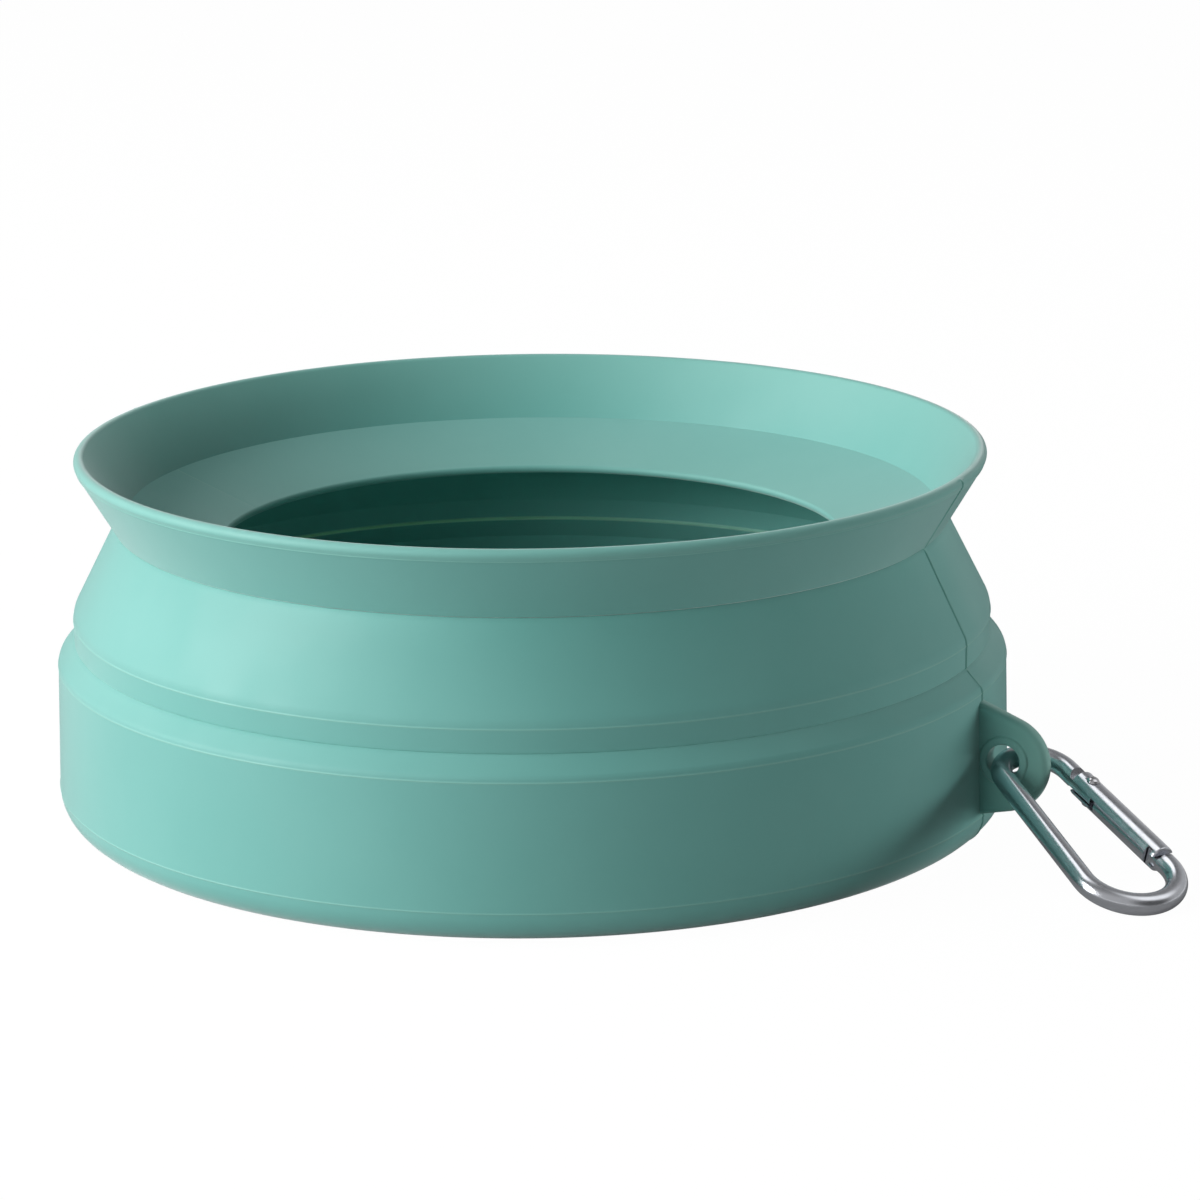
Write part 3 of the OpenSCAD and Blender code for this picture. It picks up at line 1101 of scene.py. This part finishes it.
@dataclass(kw_only=True)
class CarabinerBody(ClipPiece):
    """The bent rod, with a flat hinge tongue at one end and a T-shaped nose at the other.

    Attributes:
        bend_r: Radius of the narrow bend's middle line.
        nose_bend_r: Radius of the wide bend's middle line.
        bend_gap: Distance between the two bends' centres.
        pivot_at: Distance of the pivot from the narrow bend.
        stub: Straight between the narrow bend and the hinge tongue.
        nose_face: Where the rod ends at the nose.
        nose_reach: Length of the nose, with its head.
        shoulder_slope: How far the shoulders beside a tongue slope back.
        cap_facing: How far a face has to look along the rod to be part of its end.
        cap_corners: Such a face has more corners than this.
        straight_steps: Steps of the stub, the spine and the nose.
        bend_steps: Steps of the narrow and the wide bend.
    """

    node: str = "carabiner_body"
    body: Body = Body.CARABINER
    name: str = "carabiner_rod"
    edge_break: float = 0.12 * MM
    rod_r: float = 2.0 * MM
    bend_r: float = 6.7 * MM
    nose_bend_r: float = 8.9 * MM
    bend_gap: float = 31.5 * MM
    pivot_at: float = 7.4 * MM
    stub: float = 3.2 * MM
    nose_face: float = 22.9 * MM
    tongue_half_t: float = 0.85 * MM
    tongue_end: float = 2.2 * MM
    nose_reach: float = 2.75 * MM
    head_l: float = 1.0 * MM
    head_half: float = 1.7 * MM
    shoulder_slope: float = 0.9
    cap_facing: float = 0.7
    cap_corners: int = 4
    straight_steps: tuple[int, int, int] = (2, 12, 3)
    bend_steps: tuple[int, int] = (40, 64)
    sides: int = 56

    def rod(self, bm: BMesh) -> tuple[list[BMVert], list[BMVert]]:
        """Sweeps the rod from the hinge, round both bends, to the nose.

        Args:
            bm: Where the rod is drawn.

        Returns:
            The vertices of the hinge end and of the nose end.
        """
        lean = math.asin((self.nose_bend_r - self.bend_r) / self.bend_gap)
        leg = self.bend_gap * math.cos(lean)
        stub_steps, spine_steps, nose_steps = self.straight_steps
        narrow_steps, wide_steps = self.bend_steps
        start = lengthwise(self.stub - self.pivot_at)
        hinge = bmesh.ops.create_circle(bm, segments=self.sides, radius=self.rod_r,
                                        matrix=start)["verts"]
        stub = Vector((-self.stub, 0, 0))
        geom = self.straight(bm, hinge + loop_edges(hinge), stub, stub_steps)
        narrow = (-self.pivot_at, -self.bend_r, 0)
        geom = self.bend(bm, geom, narrow, math.pi - 2 * lean, narrow_steps)
        spine = Vector((math.cos(2 * lean), -math.sin(2 * lean), 0)) * leg
        geom = self.straight(bm, geom, spine, spine_steps)
        wide = (leg - self.pivot_at, -self.nose_bend_r, 0)
        geom = self.bend(bm, geom, wide, math.pi + 2 * lean, wide_steps)
        nose = Vector((self.nose_face + self.pivot_at - leg, 0, 0))
        geom = self.straight(bm, geom, nose, nose_steps)
        return hinge, parts_of(geom, BMVert)

    @staticmethod
    def bend(bm: BMesh, geom: list, centre: tuple[float, float, float], angle: float,
             steps: int) -> list:
        """Spins the rod's end ring round a bend."""
        return bmesh.ops.spin(bm, geom=geom, cent=centre, axis=(0, 0, 1), angle=angle,
                              steps=steps)["geom_last"]

    @staticmethod
    def straight(bm: BMesh, geom: list, way: Vector, steps: int) -> list:
        """Draws the rod's end ring out along a straight.

        Args:
            bm: Where the rod is drawn.
            geom: The end ring.
            way: The straight.
            steps: Its steps.

        Returns:
            The new end ring.
        """
        for _ in range(steps):
            grown = bmesh.ops.extrude_edge_only(bm, edges=parts_of(geom, BMEdge))["geom"]
            verts = parts_of(grown, BMVert)
            bmesh.ops.translate(bm, verts=verts, vec=way / steps)
            geom = verts + loop_edges(verts)
        return geom

    def end_face(self, bm: BMesh, ring: list[BMVert]) -> BMFace:
        """Caps an end of the rod and splits the cap into two shoulders and the tongue's face.

        Args:
            bm: Where the rod is drawn.
            ring: Vertices of the end.

        Returns:
            The tongue's face.
        """
        faces = [bmesh.ops.contextual_create(bm, geom=loop_edges(ring))["faces"][0]]
        for height in (self.tongue_half_t, -self.tongue_half_t):
            geom = faces + list({edge for face in faces for edge in face.edges})
            geom += list({vert for face in faces for vert in face.verts})
            cut = bmesh.ops.bisect_plane(bm, geom=geom, plane_co=(0, 0, height), plane_no=(0, 0, 1))
            faces = parts_of(cut["geom"], BMFace)
        return min(faces, key=lambda face: abs(face.calc_center_median().z))

    def shoulders(self, face: BMFace) -> list[BMFace]:
        """Cap faces beside the tongue's face."""
        beside = {other for edge in face.edges for other in edge.link_faces if other is not face}
        return [other for other in beside
                if abs(other.normal.x) > self.cap_facing and len(other.verts) > self.cap_corners]

    def tongue(self, bm: BMesh, ring: list[BMVert], way: int, reach: float) -> None:
        """Draws a flat tongue out of an end of the rod, between shoulders that slope back.

        Args:
            bm: Where the rod is drawn.
            ring: Vertices of the end.
            way: 1 where the tongue points along +X, -1 where it points back.
            reach: Where the tongue ends.
        """
        face = self.end_face(bm, ring)
        for vert in {vert for other in self.shoulders(face) for vert in other.verts}:
            height = max(0.0, abs(vert.co.z) - self.tongue_half_t)
            vert.co.x -= way * self.shoulder_slope * height
        grown = bmesh.ops.extrude_face_region(bm, geom=[face])["geom"]
        bmesh.ops.delete(bm, geom=[face], context="FACES_ONLY")
        for vert in parts_of(grown, BMVert):
            vert.co.x = reach
            vert.co.y = max(-self.head_half, min(self.head_half, vert.co.y))

    def draw(self) -> BMesh:
        """Sweeps the rod, draws its tongues and sets the head across the nose.

        Returns:
            The rod.
        """
        bm = bmesh.new()
        hinge, nose = self.rod(bm)
        nose_end = self.nose_face - self.nose_reach
        self.tongue(bm, hinge, 1, self.tongue_end)
        self.tongue(bm, nose, -1, nose_end)
        head_w = 2 * self.head_half
        block(bm, nose_end, nose_end + self.head_l, head_w, head_w)
        return bm


@dataclass(kw_only=True)
class CarabinerGate(ClipPiece):
    """The gate: a bar slotted at the hinge and at the nose, bored for its spring.

    Attributes:
        tail: How far the bar reaches past the pivot.
        length: Where it ends at the nose.
        slot_w: Width of the slots' cutters, more than the bar's.
        run_out: How far a cutter runs past the bar's end.
        spot_face: Height of the flat seats under the rivet's heads.
        spot_depth: Depth of the cut that makes them.
        square_turn: Edges that turn more than this are the ends' rims.
    """

    node: str = "carabiner_gate"
    body: Body = Body.GATE
    name: str = "gate_bar_slotted"
    edge_break: float = 0.16 * MM
    edge_steps: int = 3
    edge_turn: float = math.radians(40)
    gate_r: float = 2.525 * MM
    tail: float = 3.1 * MM
    length: float = 22.3 * MM
    slot_w: float = 10.1 * MM
    slot_t: float = 2.1 * MM
    slot_end: float = 4.3 * MM
    run_out: float = 1.0 * MM
    head_from: float = 19.9 * MM
    head_to: float = 21.3 * MM
    head_room: float = 3.8 * MM
    bore_r: float = 1.2 * MM
    bore_from: float = 1.5 * MM
    bore_end: float = 14.58 * MM
    spot_r: float = 1.5 * MM
    spot_face: float = 2.35 * MM
    spot_depth: float = 2.0 * MM
    end_round: float = 0.35 * MM
    end_steps: int = 4
    square_turn: float = 1.0
    sides: int = 64
    drill_sides: int = 40

    @staticmethod
    def round_bar(radius: float, length: float, place: Matrix, sides: int) -> BMesh:
        """Draws a round bar.

        Args:
            radius: Its radius.
            length: Its length.
            place: Place of its middle, with its length along the place's own Z.
            sides: Its sides.

        Returns:
            The bar.
        """
        bm = bmesh.new()
        bmesh.ops.create_cone(bm, cap_ends=True, segments=sides, radius1=radius, radius2=radius,
                              depth=length, matrix=place)
        return bm

    def bar(self) -> Object:
        """Turns the bar, with softly rounded ends.

        Returns:
            The bar, before it is cut.
        """
        place = lengthwise((self.length - self.tail) / 2)
        bm = self.round_bar(self.gate_r, self.length + self.tail, place, self.sides)
        rims = [edge for edge in bm.edges if edge.calc_face_angle(0.0) > self.square_turn]
        bmesh.ops.bevel(bm, geom=rims, offset=self.end_round, offset_type="OFFSET",
                        segments=self.end_steps, profile=0.5, affect="EDGES", material=-1)
        return finish_mesh("gate_bar", bm)

    def slots(self) -> list[Object]:
        """Draws what is milled out: the hinge slot, the room for the nose's head, the nose slot.

        Returns:
            The cutters.
        """
        boxes = [(-self.tail - self.run_out, self.slot_end, self.slot_t),
                 (self.head_from, self.head_to, self.head_room),
                 (self.head_from, self.length + self.run_out, self.slot_t)]
        tools = []
        for low, high, height in boxes:
            bm = bmesh.new()
            block(bm, low, high, self.slot_w, height)
            tools.append(finish_mesh("gate_cutter", bm))
        return tools

    def drills(self) -> list[Object]:
        """Draws what is drilled out: the spring's bore and the seats of the rivet's heads.

        Returns:
            The cutters.
        """
        bore_l = self.bore_end - self.bore_from
        cuts = [(self.bore_r, bore_l, lengthwise(self.bore_from + bore_l / 2))]
        seat = self.spot_face + self.spot_depth / 2
        for height in (seat, -seat):
            cuts.append((self.spot_r, self.spot_depth, Matrix.Translation((0, 0, height))))
        return [finish_mesh("gate_drill", self.round_bar(*cut, self.drill_sides)) for cut in cuts]

    def draw(self) -> BMesh:
        """Cuts the slots and bores out of the bar.

        Returns:
            The gate.
        """
        bar = self.bar()
        tools = self.slots() + self.drills()
        for tool in tools:
            cut = bar.modifiers.new("cut", "BOOLEAN")
            cut.operation = "DIFFERENCE"
            cut.solver = "EXACT"
            cut.object = tool
        shape = bar.evaluated_get(bpy.context.evaluated_depsgraph_get())
        bm = bmesh.new()
        bm.from_mesh(shape.to_mesh())
        for used in [bar, *tools]:
            bpy.data.objects.remove(used)
        return bm


def turned(points: list[Span], axis: Vector, steps: int) -> BMesh:
    """Turns an open profile of radius and height about an axis through the pivot.

    Args:
        points: The profile, from axis to axis.
        axis: The axis, along Z or X.
        steps: Steps of the turn.

    Returns:
        The closed solid.
    """
    bm = bmesh.new()
    side = Vector((1, 0, 0)) if axis.z else Vector((0, 0, 1))
    verts = [bm.verts.new(side * r + axis * h) for r, h in points]
    edges = [bm.edges.new(ends) for ends in zip(verts, verts[1:])]
    bmesh.ops.spin(bm, geom=verts + edges, cent=(0, 0, 0), axis=axis, angle=math.tau, steps=steps,
                   use_merge=True)
    return bm


@dataclass(kw_only=True)
class GateRivet(ClipPiece):
    """The rivet that the gate turns on, with a dome on each side."""

    node: str = "gate_rivet"
    body: Body = Body.CARABINER
    slot: Slot = Slot.RIVET
    name: str = "hinge_rivet"
    shank_r: float = 0.75 * MM
    head_r: float = 1.2 * MM
    head_base: float = 2.4 * MM
    head_h: float = 0.7 * MM
    dome_turns: tuple[float, ...] = (15, 30, 45, 60, 75, 90)
    steps: int = 40

    def draw(self) -> BMesh:
        """Turns the shank and its two heads.

        Returns:
            The rivet.
        """
        half = [(0.0, self.head_base + self.head_h)]
        for turn in map(math.radians, self.dome_turns):
            half.append((self.head_r * math.sin(turn),
                         self.head_base + self.head_h * math.cos(turn)))
        half.append((self.shank_r, self.head_base))
        return turned(half + [(r, -h) for r, h in reversed(half)], Vector((0, 0, 1)), self.steps)


@dataclass(kw_only=True)
class GatePlunger(ClipPiece):
    """The plunger that presses on the hinge tongue, with a cone at its tip and a rounded tail."""

    node: str = "gate_plunger"
    body: Body = Body.PLUNGER
    slot: Slot = Slot.SPRING
    name: str = "spring_plunger"
    radius: float = 1.15 * MM
    tip: float = 2.25 * MM
    tip_r: float = 0.69 * MM
    cone_l: float = 0.46 * MM
    tail: float = 5.45 * MM
    tail_round: float = 0.15 * MM
    steps: int = 32

    def draw(self) -> BMesh:
        """Turns the plunger from its tip to its tail.

        Returns:
            The plunger.
        """
        points = [(0.0, self.tip), (self.tip_r, self.tip), (self.radius, self.tip + self.cone_l),
                  (self.radius, self.tail - self.tail_round),
                  (self.radius - self.tail_round, self.tail), (0.0, self.tail)]
        return turned(points, Vector((1, 0, 0)), self.steps)


@dataclass(kw_only=True)
class GateSpring(ClipPiece):
    """The spring behind the plunger, which shortens between the gate and the plunger."""

    node: str = "gate_spring"
    body: Body = Body.GATE
    slot: Slot = Slot.SPRING
    name: str = "gate_coil"
    wire_r: float = 0.18 * MM
    wire_sides: int = 10
    coil_r: float = 0.97 * MM
    turns: int = 7
    curl_steps: int = 24
    near: float = 5.68 * MM
    far: float = 14.35 * MM

    def draw(self) -> BMesh:
        """Winds the spring as one tube.

        Returns:
            The spring.
        """
        bm = bmesh.new()
        start = Matrix.Translation((self.near, self.coil_r, 0))
        ring = bmesh.ops.create_circle(bm, segments=self.wire_sides, radius=self.wire_r,
                                       cap_ends=True, matrix=start)["verts"]
        steps = self.turns * self.curl_steps
        rise = (self.far - self.near) / steps
        end = bmesh.ops.spin(bm, geom=ring + loop_edges(ring), cent=(0, 0, 0), axis=(1, 0, 0),
                             dvec=(rise, 0, 0), angle=math.tau * self.turns,
                             steps=steps)["geom_last"]
        bmesh.ops.contextual_create(bm, geom=parts_of(end, BMEdge))
        return bm

    def carry(self, piece: Object) -> Object:
        """Lets the spring shorten from the gate's end of its bore to the plunger."""
        far, near = (self.place @ Vector((x, 0, 0)) for x in (self.far, self.near))
        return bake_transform(piece, Body.GATE.value, Body.PLUNGER.value, start=far, end=near)


@dataclass(frozen=True)
class Lamp:
    """A round or oval soft lamp that faces the bowl.

    Attributes:
        name: The lamp's name.
        azimuth: Direction from the bowl, in degrees to the left of the camera.
        elevation: Height above the horizon, in degrees.
        width: Its width.
        power: Its power in watts.
        flat: Its height as a share of its width.
        mirrored: Whether it shows in mirrors.
    """

    name: str
    azimuth: float
    elevation: float
    width: float
    power: float
    flat: float = 1.0
    mirrored: bool = False


@dataclass(frozen=True)
class Patch:
    """A round part of the surround, as a mirror shows it.

    Attributes:
        azimuth: Direction of its middle, in degrees to the left of the camera.
        elevation: Height of its middle above the horizon, in degrees.
        edge: Cosines of the angles from its middle between which it fades in.
        tones: Strength outside it and in it.
    """

    azimuth: float
    elevation: float
    edge: Span
    tones: Span


@dataclass
class Studio:
    """Camera, floor and soft light, set from the photographed view.

    Attributes:
        lug_turn: Turn of the view about the bowl's axis.
        floor_tone: Tone of the floor that lights the bowl.
        floor_mirror_tone: Tone of the floor in mirrors.
        floor_white: Strength of the white that the camera sees.
        floor_glow: Share of that white; the rest keeps the shadow.
        floor_mirror: Share of the white in mirrors.
        ambient: Strength of the even fill.
        streak: The bright window that the metal shows.
        lit_side: The surround near that window, and on the far side.
        horizon: The white backdrop low down.
        overhead: The soft panel above the lug.
        front: The dim room before the bowl.
    """

    stand_off: float = 0.77584
    height: float = 0.240
    lug_turn: float = math.radians(24.5)
    yaw: float = math.radians(0.95)
    pitch: float = math.radians(14.584)
    roll: float = math.radians(-0.462)
    lens: float = 126.0
    sensor: float = 36.0
    clip: Span = (0.01, 50.0)
    floor_half: float = 12.0
    floor_drop: float = 0.02 * MM
    floor_tone: float = 0.52
    floor_mirror_tone: float = 0.28
    floor_white: float = 1.035
    floor_glow: float = 0.95
    floor_mirror: float = 0.1
    ambient: float = 0.05
    streak: Patch = Patch(140, 58, (0.925, 0.95), (0.0, 1.5))
    lit_side: Patch = Patch(140, 58, (0.45, 0.92), (0.42, 0.13))
    horizon: Patch = Patch(0, 90, (0.0, 0.2), (1.0, 0.0))
    overhead: Patch = Patch(-85, 56, (0.86, 0.97), (0.0, 1.1))
    front: Patch = Patch(-48, 20, (0.8, 0.95), (1.0, 0.22))
    lamp_away: float = 1.5
    lamps: tuple[Lamp, ...] = (
        Lamp("key", 77, 22, 1.2, 20.8, mirrored=True),
        Lamp("back", 126, 34, 0.9, 3.2, mirrored=True),
        Lamp("fill", -104, 2, 1.5, 15.5, flat=0.2), Lamp("front", 45, 20, 0.9, 7.8),
        Lamp("top", 90, 70, 0.6, 3.9))

    def camera(self) -> None:
        """Sets the camera where the photograph was taken from."""
        level = math.cos(self.pitch)
        forward = Vector((math.sin(self.yaw) * level, math.cos(self.yaw) * level,
                          -math.sin(self.pitch)))
        right = forward.cross(Vector((0, 0, 1))).normalized()
        up = right.cross(forward)
        tilt = Matrix.Rotation(-self.roll, 3, forward)
        axes = Matrix((tilt @ right, tilt @ up, -forward)).transposed().to_4x4()
        spot = Matrix.Translation((0, -self.stand_off, self.height))
        data = bpy.data.cameras.new("camera")
        data.lens, data.sensor_width = self.lens, self.sensor
        data.clip_start, data.clip_end = self.clip
        camera = link("camera", data)
        camera.matrix_world = Matrix.Rotation(self.lug_turn, 4, "Z") @ spot @ axes
        bpy.context.scene.camera = camera

    def toward(self, azimuth: float, elevation: float) -> Vector:
        """Finds a direction from the bowl.

        Args:
            azimuth: Degrees to the left of the camera.
            elevation: Degrees above the horizon.

        Returns:
            The direction.
        """
        turn = self.lug_turn - math.pi / 2 - math.radians(azimuth)
        rise = math.radians(elevation)
        level = math.cos(rise)
        return Vector((math.cos(turn) * level, math.sin(turn) * level, math.sin(rise)))

    @staticmethod
    def shown(nodes: Nodes, mirrored: object) -> NodeSocket:
        """Strength of the background in rays that show it: from the camera, a mirror or glass.

        Args:
            nodes: The tree's node builder.
            mirrored: Strength in a mirror or glass, where 1 is white.

        Returns:
            The strength.
        """
        path = nodes.add("ShaderNodeLightPath").outputs
        glossy = nodes.math("MAXIMUM", path["Is Glossy Ray"], path["Is Transmission Ray"])
        in_mirror = nodes.math("MULTIPLY", glossy, mirrored)
        return nodes.math("MAXIMUM", path["Is Camera Ray"], in_mirror)

    def floor(self) -> None:
        """Lays the pale floor, which keeps a faint shadow."""
        bm = bmesh.new()
        bmesh.ops.create_grid(bm, x_segments=1, y_segments=1, size=self.floor_half)
        bmesh.ops.translate(bm, verts=bm.verts, vec=(0, 0, -self.floor_drop))
        piece = finish_mesh("floor", bm)
        material = bpy.data.materials.new("pale_floor")
        material.use_nodes = True
        nodes = Nodes(material.node_tree)
        glossy = nodes.add("ShaderNodeLightPath").outputs["Is Glossy Ray"]
        greys = [(tone, tone, tone, 1.0) for tone in (self.floor_tone, self.floor_mirror_tone)]
        paper = nodes.add("ShaderNodeBsdfDiffuse", Color=nodes.mix(glossy, *greys))
        glow = nodes.add("ShaderNodeEmission", Color=WHITE, Strength=self.floor_white)
        share = nodes.math("MULTIPLY", self.shown(nodes, self.floor_mirror), self.floor_glow)
        mixed = nodes.add("ShaderNodeMixShader", None, share, paper.outputs[0], glow.outputs[0])
        nodes.add("ShaderNodeOutputMaterial", Surface=mixed.outputs[0])
        piece.data.materials.append(material)

    def world(self) -> None:
        """Sets a white surround, which has its own tones in mirrors, and an even soft fill."""
        world = bpy.data.worlds.new("studio")
        bpy.context.scene.world = world
        world.use_nodes = True
        nodes = Nodes(world.node_tree)
        way = nodes.add("ShaderNodeTexCoord").outputs["Generated"]

        def seen(patch: Patch) -> NodeSocket:
            """Shows a patch of the surround.

            Args:
                patch: The patch.

            Returns:
                Its strength in each direction.
            """
            middle = self.toward(patch.azimuth, patch.elevation)
            facing = nodes.add("ShaderNodeVectorMath", {"operation": "DOT_PRODUCT"}, way, middle)
            return nodes.spread(facing.outputs["Value"], patch.edge, patch.tones)

        soft = nodes.math("MAXIMUM", seen(self.lit_side), seen(self.overhead))
        room = nodes.math("MAXIMUM", soft, seen(self.horizon))
        dimmed = nodes.math("MULTIPLY", room, seen(self.front))
        mirrored = nodes.math("MAXIMUM", dimmed, seen(self.streak))
        diffuse = nodes.add("ShaderNodeLightPath").outputs["Is Diffuse Ray"]
        fill = nodes.math("MULTIPLY", diffuse, self.ambient)
        strength = nodes.math("MAXIMUM", self.shown(nodes, mirrored), fill)
        sky = nodes.add("ShaderNodeBackground", Color=WHITE, Strength=strength)
        nodes.add("ShaderNodeOutputWorld", Surface=sky.outputs[0])

    def hang(self, lamp: Lamp) -> None:
        """Hangs a lamp, facing the bowl.

        Args:
            lamp: The lamp.
        """
        way = self.toward(lamp.azimuth, lamp.elevation)
        data = bpy.data.lights.new(lamp.name, "AREA")
        data.shape = "ELLIPSE"
        data.size, data.size_y = lamp.width, lamp.width * lamp.flat
        data.energy = lamp.power
        light = link(lamp.name, data)
        light.location = way * self.lamp_away
        light.rotation_euler = way.to_track_quat("Z", "Y").to_euler()
        light.visible_glossy = lamp.mirrored

    def build(self) -> None:
        """Sets the whole studio."""
        self.camera()
        self.floor()
        self.world()
        for lamp in self.lamps:
            self.hang(lamp)
        bpy.context.scene.view_settings.view_transform = "Standard"


def main() -> None:
    """Builds the studio and every piece in order."""
    logging.basicConfig(level=logging.INFO, format="%(name)s: %(message)s")
    Studio().build()
    finishes = build_finishes()
    mould, place = Mould(), gate_line()
    moulded = [BaseCup(mould=mould), lower_fold(mould), CollarBand(mould=mould),
               shoulder_fold(mould), FlaredRim(mould=mould), SplashGuard(mould=mould),
               HangingLug(mould=mould)]
    clip = [CarabinerBody(place=place), CarabinerGate(place=place), GateRivet(place=place),
            GatePlunger(place=place), GateSpring(place=place)]
    for part in moulded + clip:
        piece = part.build(finishes)
        log.info("%s: %d faces", piece.name, len(piece.data.polygons))


if __name__ == "__main__":
    main()
